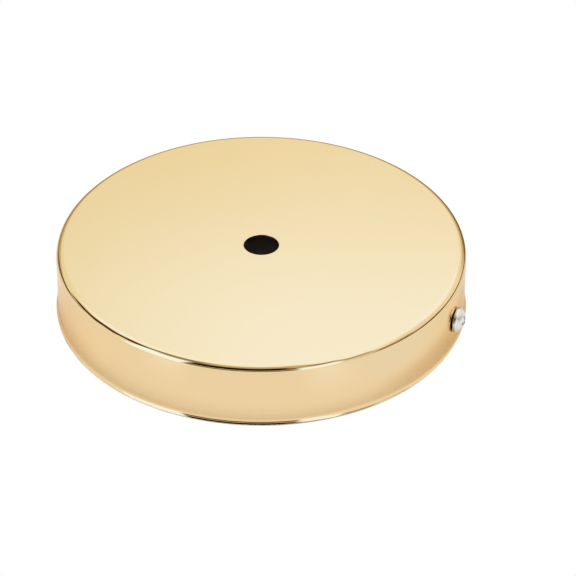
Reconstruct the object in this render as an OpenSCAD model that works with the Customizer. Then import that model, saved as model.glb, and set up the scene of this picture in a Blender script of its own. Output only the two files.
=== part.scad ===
// A round metal ceiling canopy for a pendant light, lying on its rim with its
// face up. The canopy covers the ceiling box, a strap bracket is screwed to the
// ceiling inside it, and two screws through its wall hold it on the bracket's tabs.
// The origin is the centre of the rim's plane, and +Z points out of the face.

/* [Canopy shell] */
// Diameter of the straight wall, outside
canopy_d = 120; // [100:1:160]
// Height from the rim's plane to the face
canopy_h = 20; // [18:0.5:30]
// Thickness of the drawn sheet
sheet_t = 0.8; // [0.6:0.1:1.2]
// Radius of the drawn corner between face and wall, outside
corner_r = 2.2; // [1.6:0.1:4]
// Diameter of the centre hole, which takes an M10 nipple or cord grip
centre_hole_d = 10.3; // [8:0.1:14]
// How far the rim is turned out past the wall
rim_out = 0.56; // [0.2:0.02:1]
// Radius of the flare that turns the rim out, on its outer face
rim_flare_r = 2.8; // [1.5:0.1:4]

/* [Side screws] */
// Nominal thread diameter of the two side screws
side_screw_d = 4; // [3:0.5:5]
// Thread length of the side screws, under the head
side_screw_l = 8; // [7:0.5:12]
// Diameter of a side screw's pan head
side_head_d = 7.6; // [6.5:0.1:9]
// Height of a side screw's pan head
side_head_h = 2.6; // [2.2:0.1:3.6]
// Height of the side screws' axis above the rim's plane
side_screw_z = 8.25; // [7.5:0.25:10]
// Clearance between a side screw and its hole in the wall, all round
wall_hole_gap = 0.3; // [0.2:0.05:0.5]
// Gap between a side screw's head and the wall, which the head stands just off
head_seat_gap = 0.3; // [0.1:0.05:0.5]

/* [Strap bracket] */
// Width of the strap between its tabs
strap_w = 20; // [18:1:24]
// Thickness of the strap
strap_t = 1.5; // [1.2:0.1:2]
// Width of the two tabs that are bent up
tab_w = 14; // [12:0.5:16]
// Height of the tabs' ends above the rim's plane
tab_h = 14; // [13:0.5:16]
// Inner radius of the bends
bend_r = 1.5; // [1:0.1:2.5]
// Radius of the tabs' top corners
tab_corner_r = 3; // [1:0.5:4]
// Clearance between a tab's outer corners and the inside of the wall
tab_gap = 0.3; // [0.2:0.05:0.6]
// Diameter of the strap's centre hole, which the cable comes through
cable_hole_d = 11; // [8:0.5:12]
// Width of the two slots for the ceiling screws
slot_w = 5; // [4.2:0.1:6]
// Metal left between the cable hole and each slot
slot_web = 9; // [5:0.5:12]
// Distance between the end of the slot and the clamp plate of the earth screw
slot_end_gap = 2; // [1:0.25:4]
// Height of the collars that are drawn round the tapped holes
collar_h = 1.4; // [0.8:0.1:2]
// Wall of those collars
collar_wall = 1.1; // [0.8:0.1:1.4]

/* [Earth screw] */
// Nominal thread diameter of the earth screw
earth_screw_d = 4; // [3:0.5:4]
// Thread length of the earth screw, under the head
earth_screw_l = 4.2; // [3.6:0.1:4.4]
// Diameter of the earth screw's pan head
earth_head_d = 7; // [6.5:0.1:8.5]
// Height of the earth screw's pan head
earth_head_h = 2.6; // [2:0.1:3.2]
// Distance of the earth screw's axis from the outer face of the tab beside it
earth_inset = 12.5; // [12:0.25:14]
// Outer diameter of the toothed washer
toothed_d = 8; // [7:0.1:8.4]
// Thickness of the toothed washer
toothed_t = 0.6; // [0.4:0.1:0.8]
// Number of teeth on the toothed washer
tooth_count = 10; // [8:1:14]
// Length of each tooth
tooth_l = 0.9; // [0.5:0.1:1.2]
// Length of the clamp plate's sides
clamp_side = 9; // [8:0.25:10]
// Thickness of the clamp plate
clamp_t = 1; // [0.8:0.1:1.2]
// How far the clamp plate's two edges are turned down over the wire
clamp_lip = 0.8; // [0.5:0.1:1]
// Clearance between the washers' holes and the earth screw, all round
washer_gap = 0.15; // [0.1:0.05:0.3]

/* [Screw details] */
// Depth of the cross recess in the screw heads
recess_depth = 1.7; // [1:0.1:1.9]
// Width of the cross recess's wings across the head
recess_d = 4.4; // [3.6:0.1:5]
// Thickness of the cross recess's wings
recess_wing_t = 0.9; // [0.7:0.05:1.1]
// Radius of the crown of a pan head
crown_r = 4.75; // [4.5:0.25:9]
// Clearance between a screw's thread and its tapped hole, all round
thread_gap = 0.05; // [0.02:0.01:0.1]

/* [Hidden] */
$fn = 96;
// Overlap of joined shapes, and a length past every edge of the part
eps = 0.01;
far = 200;
// How far a cut runs past the metal, and a recess's cut past the crown of its head
cut_over = 1;
recess_over = 0.2;
// Straight steps along the section's drawn corner and its flare
corner_steps = 8;
flare_steps = 4;

wall_r = canopy_d / 2;
inner_r = wall_r - sheet_t;
// The rim's flare is an arc of the sheet that is trimmed square to it.
flare_angle = acos(1 - rim_out / rim_flare_r);
flare_top_z = (rim_flare_r + sheet_t) * sin(flare_angle);
// The tabs stand clear of the round wall by their corners.
tab_face_x = sqrt(pow(inner_r, 2) - pow(tab_w / 2, 2)) - tab_gap;
// The strap's shoulders end in a quarter round just before the bend.
shoulder_x = tab_face_x - strap_t - bend_r - (strap_w - tab_w) / 2;
side_head_x = wall_r + head_seat_gap;
earth_x = tab_face_x - earth_inset;
// The two slots run from the web at the cable hole to the earth terminal's place.
slot_start_x = cable_hole_d / 2 + slot_web;
slot_end_x = earth_x - clamp_side / 2 - slot_end_gap;
// The clamp plate lies on the strap's collar, then the toothed washer, then the head.
clamp_z = strap_t + collar_h;
toothed_z = clamp_z + clamp_t;
earth_head_z = toothed_z + toothed_t;

// Points along an arc, both ends included
function arc(centre, r, from, to, steps) =
    [for (i = [0:steps]) let (a = from + (to - from) * i / steps)
        centre + r * [cos(a), sin(a)]];

// Half section of the shell, drawn to the right of its axis, outside first
module shell_section() {
    corner = [wall_r - corner_r, canopy_h - corner_r];
    flare = [wall_r + rim_flare_r, flare_top_z];
    polygon(concat(
        [[centre_hole_d / 2, canopy_h - sheet_t], [centre_hole_d / 2, canopy_h]],
        arc(corner, corner_r, 90, 0, corner_steps),
        arc(flare, rim_flare_r, 180, 180 + flare_angle, flare_steps),
        arc(flare, rim_flare_r + sheet_t, 180 + flare_angle, 180, flare_steps),
        arc(corner, corner_r - sheet_t, 0, 90, corner_steps)));
}

// The drawn shell, with its centre hole and one hole each side for a screw
module canopy() {
    color("goldenrod")
    difference() {
        rotate_extrude($fn = 120) shell_section();
        for (side = [-1, 1])
            translate([side * (inner_r - cut_over), 0, side_screw_z])
                rotate([0, side * 90, 0])
                    cylinder(d = side_screw_d + 2 * wall_hole_gap,
                             h = sheet_t + 2 * cut_over);
    }
}

// Plan of the strap before its tabs are bent, with rounded shoulders
module strap_plan() {
    square([2 * far, tab_w], center = true);
    square([2 * shoulder_x, strap_w], center = true);
    for (sx = [-1, 1], sy = [-1, 1])
        translate([sx * shoulder_x, sy * tab_w / 2]) circle((strap_w - tab_w) / 2);
}

// Side view of one half of the strap, with its bend and its tab
module strap_side() {
    bend_x = tab_face_x - strap_t - bend_r;
    square([bend_x, strap_t]);
    translate([bend_x, strap_t + bend_r]) difference() {
        intersection() {
            circle(strap_t + bend_r);
            translate([0, -far]) square([far, far]);
        }
        circle(bend_r);
    }
    translate([tab_face_x - strap_t, strap_t + bend_r])
        square([strap_t, tab_h - strap_t - bend_r]);
}

// End view of a tab, with its two rounded top corners
module tab_outline() {
    translate([-strap_w / 2, -eps]) square([strap_w, tab_h - tab_corner_r + eps]);
    translate([-tab_w / 2 + tab_corner_r, 0]) square([tab_w - 2 * tab_corner_r, tab_h]);
    for (sy = [-1, 1])
        translate([sy * (tab_w / 2 - tab_corner_r), tab_h - tab_corner_r])
            circle(tab_corner_r);
}

// The slot for a ceiling screw, along the right half of the strap
module ceiling_slot() {
    first_x = slot_start_x + slot_w / 2;
    last_x = slot_end_x - slot_w / 2;
    for (x = [first_x, last_x])
        translate([x, 0, -cut_over]) cylinder(d = slot_w, h = strap_t + 2 * cut_over);
    translate([first_x, -slot_w / 2, -cut_over])
        cube([last_x - first_x, slot_w, strap_t + 2 * cut_over]);
}

// The bent steel strap, with its tapped collars, slots and cable hole
module bracket() {
    color("silver")
    difference() {
        union() {
            intersection() {
                rotate([90, 0, 0])
                    linear_extrude(height = strap_w, center = true) {
                        strap_side();
                        mirror([1, 0]) strap_side();
                    }
                translate([0, 0, -cut_over])
                    linear_extrude(height = tab_h + 2 * cut_over) strap_plan();
                rotate([90, 0, 90])
                    linear_extrude(height = 2 * far, center = true) tab_outline();
            }
            for (side = [-1, 1])
                translate([side * (tab_face_x - strap_t / 2), 0, side_screw_z])
                    rotate([0, -side * 90, 0])
                        cylinder(d = side_screw_d + 2 * collar_wall,
                                 h = strap_t / 2 + collar_h);
            translate([earth_x, 0, strap_t / 2])
                cylinder(d = earth_screw_d + 2 * collar_wall,
                         h = strap_t / 2 + collar_h);
        }
        for (side = [-1, 1])
            translate([side * (tab_face_x + cut_over), 0, side_screw_z])
                rotate([0, -side * 90, 0])
                    cylinder(d = side_screw_d, h = strap_t + collar_h + 2 * cut_over);
        ceiling_slot();
        mirror([1, 0, 0]) ceiling_slot();
        translate([0, 0, -cut_over])
            cylinder(d = cable_hole_d, h = strap_t + 2 * cut_over);
        translate([earth_x, 0, -cut_over])
            cylinder(d = earth_screw_d, h = clamp_z + 2 * cut_over);
    }
}

// A cross recess, cut down from the crown of a head
module cross_recess(head_h) {
    cut_h = recess_depth + recess_over;
    cut_d = recess_wing_t + (recess_d - recess_wing_t) * cut_h / recess_depth;
    translate([0, 0, head_h - recess_depth])
        intersection() {
            cylinder(d1 = recess_wing_t, d2 = cut_d, h = cut_h);
            for (turn = [0, 90])
                rotate(turn)
                    translate([-recess_d, -recess_wing_t / 2, 0])
                        cube([2 * recess_d, recess_wing_t, cut_h]);
        }
}

// A pan-head screw, its head standing up from z = 0 and its shank going down
module pan_screw(thread_d, thread_l, head_d, head_h) {
    difference() {
        union() {
            rotate_extrude()
                intersection() {
                    square([head_d / 2, head_h]);
                    translate([0, head_h - crown_r]) circle(crown_r);
                }
            translate([0, 0, -thread_l])
                cylinder(d = thread_d - 2 * thread_gap, h = thread_l + head_h / 2);
        }
        cross_recess(head_h);
    }
}

// One side screw, with its head just off the outside of the wall
module side_screw(side) {
    color("gainsboro")
    translate([side * side_head_x, 0, side_screw_z])
        rotate([0, side * 90, 0])
            pan_screw(side_screw_d, side_screw_l, side_head_d, side_head_h);
}

module side_screw_right() { side_screw(1); }

module side_screw_left() { side_screw(-1); }

// The screw that clamps the earth wire to the strap
module earth_screw() {
    color("gainsboro")
    translate([earth_x, 0, earth_head_z])
        pan_screw(earth_screw_d, earth_screw_l, earth_head_d, earth_head_h);
}

// A washer with teeth round its edge, which keep the earth screw from turning
module toothed_washer() {
    tooth_root_r = toothed_d / 2 - tooth_l;
    tooth_w = PI * toothed_d / tooth_count / 2;
    color("silver")
    translate([earth_x, 0, toothed_z])
        linear_extrude(height = toothed_t)
            difference() {
                union() {
                    circle(tooth_root_r);
                    for (i = [0:tooth_count - 1])
                        rotate(i * 360 / tooth_count)
                            translate([0, -tooth_w / 2]) square([toothed_d / 2, tooth_w]);
                }
                circle(d = earth_screw_d + 2 * washer_gap);
            }
}

// The square plate under the earth screw's head, with two edges turned down
module clamp_washer() {
    color("silver")
    translate([earth_x, 0, clamp_z])
        difference() {
            union() {
                translate([-clamp_side / 2, -clamp_side / 2, 0])
                    cube([clamp_side, clamp_side, clamp_t]);
                for (side = [-1, 1])
                    translate([0, side * (clamp_side - clamp_t) / 2, (clamp_t - clamp_lip) / 2])
                        cube([clamp_side, clamp_t, clamp_t + clamp_lip], center = true);
            }
            translate([0, 0, -cut_over])
                cylinder(d = earth_screw_d + 2 * washer_gap, h = clamp_t + 2 * cut_over);
        }
}

canopy();
bracket();
side_screw_right();
side_screw_left();
earth_screw();
toothed_washer();
clamp_washer();
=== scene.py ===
import math

import bpy
import bmesh
import numpy as np
from mathutils import Matrix, Vector


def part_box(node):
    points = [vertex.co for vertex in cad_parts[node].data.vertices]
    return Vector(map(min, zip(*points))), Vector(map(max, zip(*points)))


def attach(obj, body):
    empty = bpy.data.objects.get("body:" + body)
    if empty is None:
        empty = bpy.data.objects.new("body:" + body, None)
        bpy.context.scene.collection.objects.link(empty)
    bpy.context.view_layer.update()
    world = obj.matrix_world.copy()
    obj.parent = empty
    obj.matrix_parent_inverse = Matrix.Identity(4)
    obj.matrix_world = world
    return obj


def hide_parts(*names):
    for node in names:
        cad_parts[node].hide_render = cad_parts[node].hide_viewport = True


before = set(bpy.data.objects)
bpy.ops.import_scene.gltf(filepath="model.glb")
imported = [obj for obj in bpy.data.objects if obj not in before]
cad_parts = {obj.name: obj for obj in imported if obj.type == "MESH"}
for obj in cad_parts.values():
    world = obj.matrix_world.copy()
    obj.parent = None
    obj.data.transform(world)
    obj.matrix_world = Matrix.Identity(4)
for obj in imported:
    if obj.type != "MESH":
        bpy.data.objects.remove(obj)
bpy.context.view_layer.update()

# Strap bracket
# A zinc-plated steel strap, punched and bent up at both ends, that is screwed flat
# to the ceiling. Its tabs and the earth terminal's seat have drawn, tapped collars.
MM = 0.001


def new_material(name):
    """A bare node material with its Principled shader and output."""
    material = bpy.data.materials.new(name)
    material.use_nodes = True
    nodes = material.node_tree.nodes
    return material, nodes, material.node_tree.links, nodes["Principled BSDF"]


def node(tree_nodes, kind, **values):
    """A shader node; a key that names an input sets it, any other sets a property."""
    made = tree_nodes.new(kind)
    for key, value in values.items():
        socket = key.replace("_", " ")
        if socket in made.inputs:
            made.inputs[socket].default_value = value
        else:
            setattr(made, key, value)
    return made


def new_group(name, inputs, outputs):
    """A shader node group with named inputs (name: default) and outputs."""
    group = bpy.data.node_groups.new(name, "ShaderNodeTree")
    for label, default in inputs.items():
        socket = group.interface.new_socket(
            label, in_out="INPUT", socket_type="NodeSocketFloat"
        )
        socket.default_value = default
    for label in outputs:
        group.interface.new_socket(
            label, in_out="OUTPUT", socket_type="NodeSocketFloat"
        )
    inside = group.nodes.new("NodeGroupInput")
    outside = group.nodes.new("NodeGroupOutput")
    return group, inside, outside


def rolling_lines_group():
    """Fine lines from the sheet's rolling, along X, and the zinc's soft clouds."""
    group, inside, outside = new_group(
        "Rolling lines", {"Lines per metre": 9000.0, "Clouds per metre": 160.0},
        ["Lines", "Clouds"],
    )
    nodes, links = group.nodes, group.links
    place = node(nodes, "ShaderNodeTexCoord")
    stretch = node(nodes, "ShaderNodeMapping")
    stretch.inputs["Scale"].default_value = (0.02, 1.0, 1.0)
    lines = node(nodes, "ShaderNodeTexNoise", Detail=3.0)
    clouds = node(nodes, "ShaderNodeTexNoise", Detail=2.0)
    links.new(place.outputs["Object"], stretch.inputs["Vector"])
    links.new(stretch.outputs["Vector"], lines.inputs["Vector"])
    links.new(place.outputs["Object"], clouds.inputs["Vector"])
    links.new(inside.outputs["Lines per metre"], lines.inputs["Scale"])
    links.new(inside.outputs["Clouds per metre"], clouds.inputs["Scale"])
    links.new(lines.outputs["Fac"], outside.inputs["Lines"])
    links.new(clouds.outputs["Fac"], outside.inputs["Clouds"])
    return group


rolling_lines = rolling_lines_group()


def zinc_plate(name, light, dark, rough_low, rough_high, line_depth):
    """Bright zinc on rolled steel: clouded colour, fine lines in the gloss."""
    material, nodes, links, shader = new_material(name)
    effect = node(nodes, "ShaderNodeGroup", node_tree=rolling_lines)
    tint = node(nodes, "ShaderNodeMix", data_type="RGBA")
    tint.inputs[6].default_value = dark
    tint.inputs[7].default_value = light
    gloss = node(nodes, "ShaderNodeMapRange")
    gloss.inputs["To Min"].default_value = rough_low
    gloss.inputs["To Max"].default_value = rough_high
    bump = node(nodes, "ShaderNodeBump", Strength=0.25, Distance=line_depth)
    links.new(effect.outputs["Clouds"], tint.inputs["Factor"])
    links.new(tint.outputs[2], shader.inputs["Base Color"])
    links.new(effect.outputs["Clouds"], gloss.inputs["Value"])
    links.new(gloss.outputs["Result"], shader.inputs["Roughness"])
    links.new(effect.outputs["Lines"], bump.inputs["Height"])
    links.new(bump.outputs["Normal"], shader.inputs["Normal"])
    shader.inputs["Metallic"].default_value = 1.0
    return material


ZINC_LIGHT = (0.74, 0.75, 0.77, 1)
ZINC_DARK = (0.60, 0.61, 0.63, 1)
strap_zinc = zinc_plate("strap_zinc", ZINC_LIGHT, ZINC_DARK, 0.22, 0.40, 0.02 * MM)


def finish_cad_node(name, material, edge):
    """Gives a CAD node that keeps its own shape a material and slightly worn edges."""
    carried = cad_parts[name]
    carried.data.materials.clear()
    carried.data.materials.append(material)
    worn = carried.modifiers.new("worn_edges", "BEVEL")
    worn.width = edge
    worn.segments = 2
    worn.limit_method = "ANGLE"
    worn.angle_limit = math.radians(40)


finish_cad_node("bracket", strap_zinc, 0.15 * MM)

# Earth terminal
# A square clamp plate and a toothed washer of zinc-plated steel under a nickel-plated
# pan-head screw, that hold the earth wire on the strap.
SCREW_D = 3.9 * MM
SCREW_PITCH = 0.7 * MM
CROWN_R = 4.75 * MM
HEAD_BLEND = 0.5 * MM
HEAD_ROUND = 0.1 * MM
RECESS_DEPTH = 1.7 * MM
EARTH_HEAD_D = 7.0 * MM
EARTH_HEAD_H = 2.6 * MM


def arc(centre, radius, start, end, steps, inward=False):
    """Points (r, z, normal r, normal z) along an arc, angles in degrees."""
    points = []
    for i in range(steps + 1):
        angle = math.radians(start + (end - start) * i / steps)
        out = Vector((math.cos(angle), math.sin(angle)))
        facing = -out if inward else out
        points.append((centre[0] + radius * out[0], centre[1] + radius * out[1],
                       facing[0], facing[1]))
    return points


def spun_mesh(name, outline, segments):
    """A closed solid turned from an outline of (r, z, normal r, normal z)."""
    rings = len(outline)
    angles = [2 * math.pi * i / segments for i in range(segments)]
    points = [(r * math.cos(a), r * math.sin(a), z) for a in angles for r, z, _, _ in outline]
    faces = []
    for i in range(segments):
        j = (i + 1) % segments
        for k in range(rings):
            n = (k + 1) % rings
            here, there = outline[k], outline[n]
            if math.dist(here[:2], there[:2]) < 1e-9:
                continue
            faces.append((i * rings + k, i * rings + n, j * rings + n, j * rings + k))
    mesh = bpy.data.meshes.new(name)
    mesh.from_pydata(points, [], faces)
    bm = bmesh.new()
    bm.from_mesh(mesh)
    bmesh.ops.remove_doubles(bm, verts=bm.verts, dist=1e-8)
    bmesh.ops.recalc_face_normals(bm, faces=bm.faces)
    bm.to_mesh(mesh)
    bm.free()
    return mesh


def add_object(name, mesh, material, slot, *replaced):
    """Puts a mesh in the scene as a piece that stands for CAD nodes."""
    piece = bpy.data.objects.new(name, mesh)
    bpy.context.scene.collection.objects.link(piece)
    mesh.materials.clear()
    mesh.materials.append(material)
    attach(piece, "root")
    if replaced:
        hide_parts(*replaced)
    return piece


def cut_away(mesh, cutters):
    """The mesh with other meshes cut out of it."""
    block = bpy.data.objects.new("cut_block", mesh)
    bpy.context.scene.collection.objects.link(block)
    tools = []
    for cutter in cutters:
        tool = bpy.data.objects.new("cut_tool", cutter)
        bpy.context.scene.collection.objects.link(tool)
        step = block.modifiers.new("cut", "BOOLEAN")
        step.operation = "DIFFERENCE"
        step.solver = "EXACT"
        step.object = tool
        tools.append(tool)
    bpy.context.view_layer.update()
    depsgraph = bpy.context.evaluated_depsgraph_get()
    result = bpy.data.meshes.new_from_object(block.evaluated_get(depsgraph))
    for used in [block] + tools:
        bpy.data.objects.remove(used)
    return result


def head_outline(head_r, head_h):
    """Section of a pan head that stands on z = 0, from its crown's middle down."""
    crown = (0, head_h - CROWN_R)
    reach = head_r - HEAD_BLEND
    blend = (reach, crown[1] + math.sqrt((CROWN_R - HEAD_BLEND) ** 2 - reach ** 2))
    start = math.degrees(math.atan2(blend[1] - crown[1], reach))
    foot = (head_r - HEAD_ROUND, HEAD_ROUND)
    return (arc(crown, CROWN_R, 90, start, 12) + arc(blend, HEAD_BLEND, start, 0, 8)
            + arc(foot, HEAD_ROUND, 0, -90, 3) + [(0, 0, 0, -1)])


def cross_cutter(head_h):
    """Four wings that taper down to the middle, as a driver's tip has."""
    top, bottom = head_h + 0.2 * MM, head_h - RECESS_DEPTH
    bm = bmesh.new()
    loops = []
    for z, reach, half in ((top, 2.40 * MM, 0.45 * MM), (bottom, 0.55 * MM, 0.32 * MM)):
        corner = [(reach, -half), (reach, half), (half, half)]
        loops.append([
            bm.verts.new((Matrix.Rotation(quarter * math.pi / 2, 3, "Z") @ Vector((x, y, z))))
            for quarter in range(4) for x, y in corner])
    count = len(loops[0])
    bm.faces.new(loops[0])
    bm.faces.new(list(reversed(loops[1])))
    for i in range(count):
        j = (i + 1) % count
        bm.faces.new((loops[0][j], loops[0][i], loops[1][i], loops[1][j]))
    bmesh.ops.recalc_face_normals(bm, faces=bm.faces)
    mesh = bpy.data.meshes.new("cross_cutter")
    bm.to_mesh(mesh)
    bm.free()
    return mesh


def add_thread(bm, radius, pitch, length):
    """Adds a V thread that hangs down from z = 0, with a closed, tapered tip."""
    depth, around, per_turn = 0.55 * pitch, 48, 8
    rings = round(length / pitch * per_turn)
    layers = []
    for k in range(rings + 1):
        z = -length * k / rings
        tip = min(1, (rings - k) / per_turn)
        layer = []
        for i in range(around):
            ridge = 1 - abs(2 * ((z / pitch + i / around) % 1) - 1)
            r = radius - depth + depth * ridge * tip
            angle = 2 * math.pi * i / around
            layer.append(bm.verts.new((r * math.cos(angle), r * math.sin(angle), z)))
        layers.append(layer)
    for upper, lower in zip(layers, layers[1:]):
        for i in range(around):
            j = (i + 1) % around
            bm.faces.new((upper[j], upper[i], lower[i], lower[j]))
    bm.faces.new(layers[0])
    bm.faces.new(list(reversed(layers[-1])))


def pan_screw(name, head_d, head_h, length, place):
    """A screw with a crossed pan head and a real thread, moved to its place."""
    blank = spun_mesh(name + "_head", head_outline(head_d / 2, head_h), 96)
    mesh = cut_away(blank, [cross_cutter(head_h)])
    bm = bmesh.new()
    bm.from_mesh(mesh)
    add_thread(bm, SCREW_D / 2, SCREW_PITCH, length)
    bmesh.ops.recalc_face_normals(bm, faces=bm.faces)
    bm.to_mesh(mesh)
    bm.free()
    mesh.transform(place)
    mesh.shade_smooth()
    mesh.set_sharp_from_angle(angle=math.radians(35))
    return mesh


washer_zinc = zinc_plate("washer_zinc", ZINC_LIGHT, ZINC_DARK, 0.18, 0.34, 0.01 * MM)
screw_nickel = zinc_plate(
    "screw_nickel", (0.84, 0.80, 0.76, 1), (0.74, 0.70, 0.66, 1), 0.22, 0.34, 0.004 * MM
)
finish_cad_node("clamp_washer", washer_zinc, 0.10 * MM)
finish_cad_node("toothed_washer", washer_zinc, 0.06 * MM)
earth_low, earth_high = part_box("earth_screw")
earth_middle = (earth_low + earth_high) / 2
earth_seat = earth_high.z - EARTH_HEAD_H
add_object(
    "earth_screw_piece",
    pan_screw("earth_screw_piece", EARTH_HEAD_D, EARTH_HEAD_H, earth_seat - earth_low.z,
              Matrix.Translation((earth_middle.x, earth_middle.y, earth_seat))),
    screw_nickel, "nickel_screw", "earth_screw")

# Canopy shell
# One piece of thin steel sheet, drawn to a shallow cup with a turned-out rim, punched
# in the centre and on both sides, then polished and plated to a gold-coloured mirror.
WALL_R = 60 * MM
HEIGHT = 20 * MM
SHEET = 0.8 * MM
CORNER_R = 2.2 * MM
HOLE_R = 5.15 * MM
RIM_OUT = 0.56 * MM
FLARE_R = 2.8 * MM
WALL_HOLE_R = 2.3 * MM
SCREW_Z = 8.25 * MM
SHELL_SEGMENTS = 360
PUNCH_ROUND = 0.12 * MM
CUT_ROUND = 0.08 * MM


def shell_outline():
    """The sheet's section, from the face's hole round the rim and back inside."""
    turn = math.acos(1 - RIM_OUT / FLARE_R)
    flare_z = (FLARE_R + SHEET) * math.sin(turn)
    corner = (WALL_R - CORNER_R, HEIGHT - CORNER_R)
    flare = (WALL_R + FLARE_R, flare_z)
    along = Vector((math.sin(turn), -math.cos(turn)))
    out = Vector((math.cos(turn), math.sin(turn)))
    cut_end = Vector(flare) - out * (FLARE_R + CUT_ROUND) - along * CUT_ROUND
    turn = math.degrees(turn)
    punch = (HOLE_R + PUNCH_ROUND, HEIGHT - PUNCH_ROUND)
    inner = HEIGHT - SHEET
    face = [(HOLE_R + (corner[0] - HOLE_R) * f, HEIGHT, 0, 1) for f in (0.1, 0.4, 0.7, 0.95)]
    wall = [(WALL_R, flare_z + (corner[1] - flare_z) * f, 1, 0) for f in (0.9, 0.6, 0.3, 0.1)]
    inside_wall = [(WALL_R - SHEET, flare_z + (corner[1] - flare_z) * f, -1, 0)
                   for f in (0.1, 0.5, 0.9)]
    inside_face = [(HOLE_R + (corner[0] - HOLE_R) * f, inner, 0, -1) for f in (0.9, 0.5, 0.1)]
    return (
        [(HOLE_R, inner, -1, 0)]
        + arc(punch, PUNCH_ROUND, 180, 90, 4)
        + face
        + arc(corner, CORNER_R, 90, 0, 24)
        + wall
        + arc(flare, FLARE_R, 180, 180 + turn, 16, inward=True)
        + arc(cut_end, CUT_ROUND, turn, turn - 90, 4)
        + arc(flare, FLARE_R + SHEET, 180 + turn, 180, 10)
        + inside_wall
        + arc(corner, CORNER_R - SHEET, 0, 90, 8, inward=True)
        + inside_face
        + [(HOLE_R, inner, 0, -1)]
    )


def true_normals(mesh, outline):
    """Gives every corner the exact normal of the turned surface that it lies on."""
    table = np.array(outline)
    corners = np.zeros(len(mesh.loops) * 3)
    mesh.polygons.foreach_set("use_smooth", [True] * len(mesh.polygons))
    vertices = np.zeros(len(mesh.vertices) * 3)
    mesh.vertices.foreach_get("co", vertices)
    vertices = vertices.reshape(-1, 3)
    corners = corners.reshape(-1, 3)
    for polygon in mesh.polygons:
        facing = np.array(polygon.normal)
        span = list(polygon.loop_indices)
        place = vertices[[mesh.loops[i].vertex_index for i in span]]
        radius = np.maximum(np.hypot(place[:, 0], place[:, 1]), 1e-9)
        out = place[:, :2] / radius[:, None]
        far = np.hypot(radius[:, None] - table[None, :, 0], place[:, 2:3] - table[None, :, 1])
        fit = (out @ facing[:2])[:, None] * table[None, :, 2] + facing[2] * table[None, :, 3]
        best = np.argmin(far / MM + (1 - fit) * 0.5, axis=1)
        turned = table[best]
        exact = np.column_stack((out * turned[:, 2:3], turned[:, 3]))
        sure = (exact @ facing) > 0.9
        corners[span] = np.where(sure[:, None], exact, facing)
    mesh.normals_split_custom_set(corners.tolist())


def drill(radius, length, place, axis, segments=48):
    """A round cutter of that radius, centred at a place, along an axis."""
    mesh = bpy.data.meshes.new("drill")
    bm = bmesh.new()
    turn = Vector((0, 0, 1)).rotation_difference(Vector(axis)).to_matrix().to_4x4()
    bmesh.ops.create_cone(
        bm, cap_ends=True, segments=segments, radius1=radius, radius2=radius,
        depth=length, matrix=Matrix.Translation(place) @ turn,
    )
    bm.to_mesh(mesh)
    bm.free()
    return mesh


def polish_group():
    """Marks of buffing and handling: soft ripples, hairlines and a haze."""
    group, inside, outside = new_group(
        "Polish marks", {"Ripple per metre": 45.0, "Haze per metre": 22.0},
        ["Ripple", "Haze", "Hairlines"],
    )
    nodes, links = group.nodes, group.links
    place = node(nodes, "ShaderNodeTexCoord")
    ripple = node(nodes, "ShaderNodeTexNoise", Detail=1.0)
    haze = node(nodes, "ShaderNodeTexNoise", Detail=4.0)
    hair_stretch = node(nodes, "ShaderNodeMapping")
    hair_stretch.inputs["Rotation"].default_value = (0, 0, 0.6)
    hair_stretch.inputs["Scale"].default_value = (30, 1500, 1500)
    hair = node(nodes, "ShaderNodeTexNoise", Scale=1.0, Detail=2.0)
    hair_cut = node(nodes, "ShaderNodeMapRange")
    hair_cut.inputs["From Min"].default_value = 0.70
    hair_cut.inputs["From Max"].default_value = 0.80
    links.new(place.outputs["Object"], ripple.inputs["Vector"])
    links.new(place.outputs["Object"], haze.inputs["Vector"])
    links.new(place.outputs["Object"], hair_stretch.inputs["Vector"])
    links.new(hair_stretch.outputs["Vector"], hair.inputs["Vector"])
    links.new(inside.outputs["Ripple per metre"], ripple.inputs["Scale"])
    links.new(inside.outputs["Haze per metre"], haze.inputs["Scale"])
    links.new(hair.outputs["Fac"], hair_cut.inputs["Value"])
    links.new(ripple.outputs["Fac"], outside.inputs["Ripple"])
    links.new(haze.outputs["Fac"], outside.inputs["Haze"])
    links.new(hair_cut.outputs["Result"], outside.inputs["Hairlines"])
    return group


polish_marks = polish_group()


def gold_plate():
    """Mirror-polished gold-coloured plating with faint polishing marks."""
    material, nodes, links, shader = new_material("gold_plate")
    effect = node(nodes, "ShaderNodeGroup", node_tree=polish_marks)
    tint = node(nodes, "ShaderNodeMix", data_type="RGBA")
    tint.inputs[6].default_value = (0.840, 0.622, 0.345, 1)
    tint.inputs[7].default_value = (0.860, 0.640, 0.368, 1)
    gloss = node(nodes, "ShaderNodeMapRange")
    gloss.inputs["To Min"].default_value = 0.035
    gloss.inputs["To Max"].default_value = 0.075
    gloss_hair = node(nodes, "ShaderNodeMath", operation="MULTIPLY_ADD")
    gloss_hair.inputs[1].default_value = 0.10
    ripple = node(nodes, "ShaderNodeBump", Strength=0.10, Distance=0.02 * MM)
    links.new(effect.outputs["Haze"], tint.inputs["Factor"])
    links.new(tint.outputs[2], shader.inputs["Base Color"])
    links.new(effect.outputs["Haze"], gloss.inputs["Value"])
    links.new(effect.outputs["Hairlines"], gloss_hair.inputs[0])
    links.new(gloss.outputs["Result"], gloss_hair.inputs[2])
    links.new(gloss_hair.outputs["Value"], shader.inputs["Roughness"])
    links.new(effect.outputs["Ripple"], ripple.inputs["Height"])
    links.new(ripple.outputs["Normal"], shader.inputs["Normal"])
    shader.inputs["Metallic"].default_value = 1.0
    shader.inputs["Specular Tint"].default_value = (0.98, 0.82, 0.62, 1)
    return material


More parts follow.
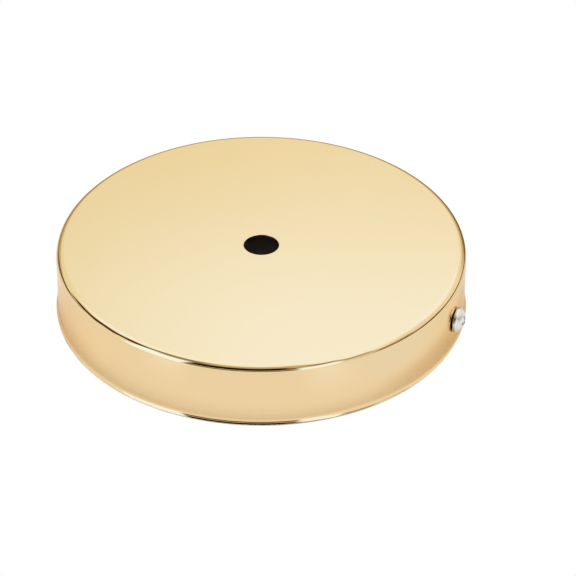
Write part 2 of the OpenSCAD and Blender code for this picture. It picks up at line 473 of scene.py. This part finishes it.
canopy_outline = shell_outline()
canopy_blank = spun_mesh("canopy_blank", canopy_outline, SHELL_SEGMENTS)
canopy_mesh = cut_away(
    canopy_blank,
    [drill(WALL_HOLE_R, 8 * MM, (side * WALL_R, 0, SCREW_Z), (1, 0, 0)) for side in (-1, 1)],
)
true_normals(canopy_mesh, canopy_outline)
canopy_piece = add_object("canopy_shell", canopy_mesh, gold_plate(), "gold_plate", "canopy")

# Side screws
# Two bright nickel-plated M4 pan-head screws with a cross recess, that go through the
# wall into the strap's tabs and hold the canopy up.
SIDE_HEAD_D = 7.6 * MM
SIDE_HEAD_H = 2.6 * MM
for side, cad_node in ((1, "side_screw_right"), (-1, "side_screw_left")):
    low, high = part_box(cad_node)
    head_top = high.x if side > 0 else low.x
    length = high.x - low.x - SIDE_HEAD_H
    middle = (low + high) / 2
    place = (Matrix.Translation((head_top - side * SIDE_HEAD_H, middle.y, middle.z))
             @ Matrix.Rotation(side * math.pi / 2, 4, "Y"))
    add_object(
        cad_node + "_piece",
        pan_screw(cad_node + "_piece", SIDE_HEAD_D, SIDE_HEAD_H, length, place),
        screw_nickel, "nickel_screw", cad_node)

# Floor
# A white table that the canopy lies on. It is plain white to the camera, and only the
# polished metal shows the light and shade painted on it, with a painted dark band at its
# right-hand side.
FLOOR_HALF = 3.0
SHADOW_REACH = 120 * MM
# Where the painted dark band on the table starts to fade in and where it is full.
DARK_BAND_START = 80 * MM
DARK_BAND_END = 108 * MM
CAMERA_TURN = math.radians(20.55)


def soft_patch_group():
    """How much a place lies on one patch with soft edges. The patch spans an angle round
    the canopy's axis, and levels, which are elevations or distances."""
    group, inside, outside = new_group(
        "Soft patch",
        {"Azimuth": 0.0, "Level": 0.0, "Centre": 0.0, "Half width": 0.5,
         "Low": 0.0, "High": 1.0, "Side softness": 0.03, "Low softness": 0.03,
         "High softness": 0.03},
        ["Mask"],
    )
    nodes, links = group.nodes, group.links

    def ramp(value, start, span, rising):
        """1 on the patch and 0 off it, over a soft edge from start."""
        away = node(nodes, "ShaderNodeMath", operation="SUBTRACT")
        if rising:
            links.new(value, away.inputs[0])
            links.new(start, away.inputs[1])
        else:
            links.new(start, away.inputs[0])
            links.new(value, away.inputs[1])
        soft = node(nodes, "ShaderNodeMath", operation="DIVIDE")
        links.new(away.outputs[0], soft.inputs[0])
        links.new(span, soft.inputs[1])
        smooth = node(nodes, "ShaderNodeMapRange", interpolation_type="SMOOTHSTEP")
        smooth.inputs["From Min"].default_value = -0.5
        smooth.inputs["From Max"].default_value = 0.5
        links.new(soft.outputs[0], smooth.inputs["Value"])
        return smooth.outputs["Result"]

    away = node(nodes, "ShaderNodeMath", operation="SUBTRACT")
    wrap = node(nodes, "ShaderNodeMath", operation="WRAP")
    wrap.inputs[1].default_value = math.pi
    wrap.inputs[2].default_value = -math.pi
    size = node(nodes, "ShaderNodeMath", operation="ABSOLUTE")
    links.new(inside.outputs["Azimuth"], away.inputs[0])
    links.new(inside.outputs["Centre"], away.inputs[1])
    links.new(away.outputs[0], wrap.inputs[0])
    links.new(wrap.outputs[0], size.inputs[0])
    across = ramp(size.outputs[0], inside.outputs["Half width"],
                  inside.outputs["Side softness"], rising=False)
    below = ramp(inside.outputs["Level"], inside.outputs["Low"],
                 inside.outputs["Low softness"], rising=True)
    above = ramp(inside.outputs["Level"], inside.outputs["High"],
                 inside.outputs["High softness"], rising=False)
    first = node(nodes, "ShaderNodeMath", operation="MULTIPLY")
    both = node(nodes, "ShaderNodeMath", operation="MULTIPLY")
    links.new(across, first.inputs[0])
    links.new(below, first.inputs[1])
    links.new(first.outputs[0], both.inputs[0])
    links.new(above, both.inputs[1])
    links.new(both.outputs[0], outside.inputs["Mask"])
    return group


soft_patch = soft_patch_group()


def from_photographer(tree, vector):
    """A vector turned so that the photographer stands at -Y, and its azimuth from there."""
    nodes, links = tree.nodes, tree.links
    turned = node(nodes, "ShaderNodeVectorRotate", rotation_type="Z_AXIS")
    turned.inputs["Angle"].default_value = -CAMERA_TURN
    parts = node(nodes, "ShaderNodeSeparateXYZ")
    minus_y = node(nodes, "ShaderNodeMath", operation="MULTIPLY")
    minus_y.inputs[1].default_value = -1.0
    azimuth = node(nodes, "ShaderNodeMath", operation="ARCTAN2")
    links.new(vector, turned.inputs["Vector"])
    links.new(turned.outputs["Vector"], parts.inputs["Vector"])
    links.new(parts.outputs["Y"], minus_y.inputs[0])
    links.new(parts.outputs["X"], azimuth.inputs[0])
    links.new(minus_y.outputs[0], azimuth.inputs[1])
    return turned.outputs["Vector"], azimuth.outputs[0]


def lay_patch(tree, under, colour, azimuth, level, centre, half_width, low, high,
              side_soft, low_soft, high_soft):
    """Lays a soft-edged colour over what is under it. Azimuths are in degrees from the
    photographer's side and count up to the right."""
    nodes, links = tree.nodes, tree.links
    mask = node(nodes, "ShaderNodeGroup", node_tree=soft_patch)
    for label, value in (("Centre", math.radians(centre)),
                         ("Half width", math.radians(half_width)),
                         ("Side softness", math.radians(side_soft)),
                         ("Low", low), ("High", high),
                         ("Low softness", low_soft), ("High softness", high_soft)):
        mask.inputs[label].default_value = value
    links.new(azimuth, mask.inputs["Azimuth"])
    links.new(level, mask.inputs["Level"])
    lay = node(nodes, "ShaderNodeMix", data_type="RGBA")
    links.new(mask.outputs["Mask"], lay.inputs["Factor"])
    if isinstance(under, tuple):
        lay.inputs[6].default_value = under
    else:
        links.new(under, lay.inputs[6])
    lay.inputs[7].default_value = colour
    return lay.outputs[2]


def painted_table_light(tree):
    """Light and shade painted on the table near the canopy: a painted shadow on its right-hand
    side, painted glows as from white cards and lamps, and a painted dark band at the right.
    Distances from the canopy's axis are in millimetres."""
    nodes, links = tree.nodes, tree.links
    place = node(nodes, "ShaderNodeTexCoord")
    turned, azimuth = from_photographer(tree, place.outputs["Object"])
    distance = node(nodes, "ShaderNodeVectorMath", operation="LENGTH")
    links.new(turned, distance.inputs[0])
    lit = (1, 1, 1, 1)
    # Each row paints one patch of light or shade on the table: colour, centre, half width,
    # nearest and farthest distance, side softness and distance softness. The cool rows that
    # rise above 1 are painted glows, the warm row at 72 degrees that reaches in to the canopy
    # is a painted shadow, and the last row is a painted dark patch.
    for colour, centre, half_width, low, high, side_soft, level_soft in (
        ((0.955, 0.995, 0.985, 1), 0, 190, 82, 900, 4, 14),
        ((0.955, 1.010, 1.080, 1), 70, 34, 70, 900, 26, 10),
        ((1.050, 1.100, 1.150, 1), -35, 7, 78, 900, 12, 14),
        ((1.030, 1.100, 1.170, 1), 24, 7, 76, 900, 12, 16),
        ((0.960, 1.000, 1.120, 1), -100, 28, 55, 900, 24, 6),
        ((0.880, 0.950, 1.180, 1), 100, 12, 55, 900, 14, 6),
        ((0.800, 0.700, 0.580, 1), 72, 30, -10, 66, 30, 8),
        ((0.300, 0.240, 0.150, 1), -145, 30, 150, 900, 24, 60),
    ):
        lit = lay_patch(tree, lit, colour, azimuth, distance.outputs["Value"], centre,
                        half_width, low * MM, high * MM, side_soft, level_soft * MM,
                        level_soft * MM)
    # A painted dark band on the table at its right-hand side, as dark as a cloth. Only the
    # metal sees it, as a painted dark reflection.
    across = node(nodes, "ShaderNodeVectorMath", operation="DOT_PRODUCT")
    across.inputs[1].default_value = (0.857, 0.515, 0)
    edge = node(nodes, "ShaderNodeMapRange", interpolation_type="SMOOTHSTEP")
    edge.inputs["From Min"].default_value = DARK_BAND_START
    edge.inputs["From Max"].default_value = DARK_BAND_END
    painted_dark_band = node(nodes, "ShaderNodeMix", data_type="RGBA")
    painted_dark_band.inputs[7].default_value = (0.17, 0.125, 0.05, 1)
    links.new(turned, across.inputs[0])
    links.new(across.outputs["Value"], edge.inputs["Value"])
    links.new(edge.outputs["Result"], painted_dark_band.inputs["Factor"])
    links.new(lit, painted_dark_band.inputs[6])
    return painted_dark_band.outputs[2]


def floor_paper():
    """White paper: seen directly it is paler than its own shading."""
    material, nodes, links, shader = new_material("floor_paper")
    shader.inputs["Base Color"].default_value = (0.95, 0.93, 0.90, 1)
    shader.inputs["Roughness"].default_value = 1.0
    shader.inputs["Specular IOR Level"].default_value = 0.0
    glow = node(nodes, "ShaderNodeEmission", Strength=1.0)
    path = node(nodes, "ShaderNodeLightPath")
    open_sky = node(nodes, "ShaderNodeAmbientOcclusion", Distance=SHADOW_REACH)
    blend = node(nodes, "ShaderNodeMixShader")
    share = None
    for ray, darkest, palest in (("Is Camera Ray", 0.16, 0.42), ("Is Glossy Ray", 0.54, 0.76)):
        pale = node(nodes, "ShaderNodeMapRange")
        pale.inputs["From Min"].default_value = darkest
        pale.inputs["From Max"].default_value = palest
        part = node(nodes, "ShaderNodeMath", operation="MULTIPLY_ADD")
        part.inputs[2].default_value = 0.0
        links.new(open_sky.outputs["AO"], pale.inputs["Value"])
        links.new(pale.outputs["Result"], part.inputs[0])
        links.new(path.outputs[ray], part.inputs[1])
        if share:
            links.new(share.outputs["Value"], part.inputs[2])
        share = part
    # Glossy rays see the table's painted light and shade; to the camera the table stays plain
    # white.
    for_metal = node(nodes, "ShaderNodeMix", data_type="RGBA")
    for_metal.inputs[6].default_value = (1, 1, 1, 1)
    links.new(path.outputs["Is Glossy Ray"], for_metal.inputs["Factor"])
    links.new(painted_table_light(material.node_tree), for_metal.inputs[7])
    links.new(for_metal.outputs[2], glow.inputs["Color"])
    links.new(share.outputs["Value"], blend.inputs[0])
    links.new(shader.outputs["BSDF"], blend.inputs[1])
    links.new(glow.outputs["Emission"], blend.inputs[2])
    links.new(blend.outputs["Shader"], nodes["Material Output"].inputs["Surface"])
    return material


floor_mesh = bpy.data.meshes.new("floor")
floor_mesh.from_pydata(
    [(-FLOOR_HALF, -FLOOR_HALF, 0), (FLOOR_HALF, -FLOOR_HALF, 0),
     (FLOOR_HALF, FLOOR_HALF, 0), (-FLOOR_HALF, FLOOR_HALF, 0)], [], [(0, 1, 2, 3)])
floor_mesh.materials.append(floor_paper())
floor = bpy.data.objects.new("floor", floor_mesh)
bpy.context.scene.collection.objects.link(floor)

# Low glowing card
# A strip that glows white, as a strip of white card would, standing on the table at the
# canopy's right, out of sight.
# Camera, diffuse and shadow rays pass it, so it is a painted reflection that only the metal
# shows. It keeps the dark room out of the turned-out rim and lightens the screw's head.
CARD_R = 95 * MM
CARD_H = 9 * MM
CARD_STEPS = 48
CARD_FROM, CARD_TO, CARD_TAPER = 20, 120, 16
card_mesh = bpy.data.meshes.new("glowing_low_card")
card_points = []
for step in range(CARD_STEPS + 1):
    along = CARD_FROM + (CARD_TO - CARD_FROM) * step / CARD_STEPS
    place = CAMERA_TURN + math.radians(along)
    taper = min(1, (along - CARD_FROM) / CARD_TAPER, (CARD_TO - along) / CARD_TAPER)
    for level in (0, CARD_H * math.sin(taper * math.pi / 2)):
        card_points.append((CARD_R * math.sin(place), -CARD_R * math.cos(place), level))
card_mesh.from_pydata(
    card_points, [], [(2 * i, 2 * i + 2, 2 * i + 3, 2 * i + 1) for i in range(CARD_STEPS)])
reflection_card_glow, card_nodes, card_links, _ = new_material("reflection_card_glow")
card_glow = node(card_nodes, "ShaderNodeEmission", Strength=1.0)
card_links.new(card_glow.outputs["Emission"], card_nodes["Material Output"].inputs["Surface"])
card_mesh.materials.append(reflection_card_glow)
glowing_low_card = bpy.data.objects.new("glowing_low_card", card_mesh)
bpy.context.scene.collection.objects.link(glowing_low_card)
glowing_low_card.visible_camera = False
glowing_low_card.visible_diffuse = False
glowing_low_card.visible_shadow = False

# Studio
# A white room with soft boxes and flags round the table. Only polished metal shows
# them: everything else is lit evenly by the white room.
world = bpy.data.worlds.new("studio")
bpy.context.scene.world = world
world.use_nodes = True
sky, sky_links = world.node_tree.nodes, world.node_tree.links
direction = node(sky, "ShaderNodeTexCoord")
turned_view, azimuth = from_photographer(world.node_tree, direction.outputs["Generated"])
view_parts = node(sky, "ShaderNodeSeparateXYZ")
elevation = node(sky, "ShaderNodeMath", operation="ARCSINE")
sky_links.new(turned_view, view_parts.inputs["Vector"])
sky_links.new(view_parts.outputs["Z"], elevation.inputs[0])


def panel(under, colour, centre, half_width, low, high,
          side_soft=3.0, low_soft=3.0, high_soft=3.0):
    """Lays one panel of the studio over what is under it, with all angles in degrees."""
    return lay_patch(world.node_tree, under, colour, azimuth, elevation.outputs[0], centre,
                     half_width, math.radians(low), math.radians(high), side_soft,
                     math.radians(low_soft), math.radians(high_soft))


room = panel((1.10, 1.30, 1.55, 1), (0.965, 1.01, 0.90, 1), 180, 110, -10, 42,
             side_soft=30, low_soft=10, high_soft=14)
room = panel(room, (1.01, 1.07, 1.03, 1), 150, 31, -10, 42,
             side_soft=8, low_soft=10, high_soft=14)
room = panel(room, (1.10, 1.31, 1.66, 1), 150, 34, 34.4, 90,
             side_soft=10, low_soft=4.2, high_soft=2)
room = panel(room, (0.42, 0.34, 0.20, 1), 180, 42, -5, 22,
             side_soft=20, low_soft=6, high_soft=12)
room = panel(room, (0.66, 0.58, 0.44, 1), -14, 50, 0, 72,
             side_soft=14, low_soft=4, high_soft=12)
room = panel(room, (0.06, 0.03, 0.01, 1), -13, 29, 3, 48,
             side_soft=6, low_soft=10, high_soft=16)
room = panel(room, (0.16, 0.11, 0.05, 1), 14, 8, 3, 36,
             side_soft=8, low_soft=10, high_soft=16)
room = panel(room, (0.01, 0.006, 0.002, 1), -14, 26, 8, 42,
             side_soft=6, low_soft=10, high_soft=12)
for centre, low, high in ((-82, 34, 66), (-93, 25, 56), (-103, 16, 46), (-113, 8, 35)):
    room = panel(room, (0.10, 0.035, 0.004, 1), centre, 8, low, high,
                 side_soft=7, low_soft=8, high_soft=10)
room = panel(room, (0.13, 0.075, 0.03, 1), -129, 13, -6, 14,
             side_soft=10, low_soft=6, high_soft=10)
room = panel(room, (0.50, 0.44, 0.27, 1), 52, 10, 8, 36,
             side_soft=8, low_soft=8, high_soft=12)
room = panel(room, (0.36, 0.29, 0.15, 1), 72, 12, -3, 19,
             side_soft=8, low_soft=4, high_soft=10)
room = panel(room, (0.36, 0.30, 0.17, 1), 94, 12, -3, 6,
             side_soft=10, low_soft=4, high_soft=8)
room = panel(room, (1.15, 1.50, 2.05, 1), -57, 17, -25, 40, side_soft=5, high_soft=8)
room = panel(room, (1.17, 1.50, 2.20, 1), 30, 11, -25, 27, side_soft=5, high_soft=10)
room = panel(room, (0.34, 0.25, 0.12, 1), -57, 16, 49, 67,
             side_soft=8, low_soft=6, high_soft=8)
room = panel(room, (0.34, 0.25, 0.12, 1), 37, 10, 33, 49,
             side_soft=8, low_soft=6, high_soft=8)
room = panel(room, (0.965, 1.01, 0.90, 1), 0, 190, 13.2, 16.8, low_soft=1.2, high_soft=1.2)

path = node(sky, "ShaderNodeLightPath")
for_metal = node(sky, "ShaderNodeMix", data_type="RGBA")
for_metal.inputs[6].default_value = (1, 1, 1, 1)
sky_links.new(path.outputs["Is Glossy Ray"], for_metal.inputs["Factor"])
sky_links.new(room, for_metal.inputs[7])
sky_links.new(for_metal.outputs[2], sky["Background"].inputs["Color"])
sky["Background"].inputs["Strength"].default_value = 1.0

# Camera
# A long lens about 0.9 m away, looking down on the face.
CAMERA_DISTANCE = 0.9
CAMERA_RISE = math.radians(34.66)
LOOK_PAN = math.radians(-0.4967)
LOOK_TILT = math.radians(-0.8067)
LENS_MM = 192.18

back = Vector((math.sin(CAMERA_TURN) * math.cos(CAMERA_RISE),
               -math.cos(CAMERA_TURN) * math.cos(CAMERA_RISE),
               math.sin(CAMERA_RISE)))
right = Vector((math.cos(CAMERA_TURN), math.sin(CAMERA_TURN), 0))
up = right.cross(-back)
face_centre = Vector((0, 0, HEIGHT))
forward = Matrix.Rotation(LOOK_PAN, 3, up) @ -back
right = Matrix.Rotation(LOOK_PAN, 3, up) @ right
forward = Matrix.Rotation(LOOK_TILT, 3, right) @ forward
up = Matrix.Rotation(LOOK_TILT, 3, right) @ up
camera_data = bpy.data.cameras.new("camera")
camera_data.sensor_width = 36.0
camera_data.lens = LENS_MM
camera = bpy.data.objects.new("camera", camera_data)
bpy.context.scene.collection.objects.link(camera)
camera.matrix_world = Matrix.Translation(face_centre + back * CAMERA_DISTANCE) @ Matrix(
    (right, up, -forward)).transposed().to_4x4()
bpy.context.scene.camera = camera
bpy.context.scene.view_settings.view_transform = "Standard"
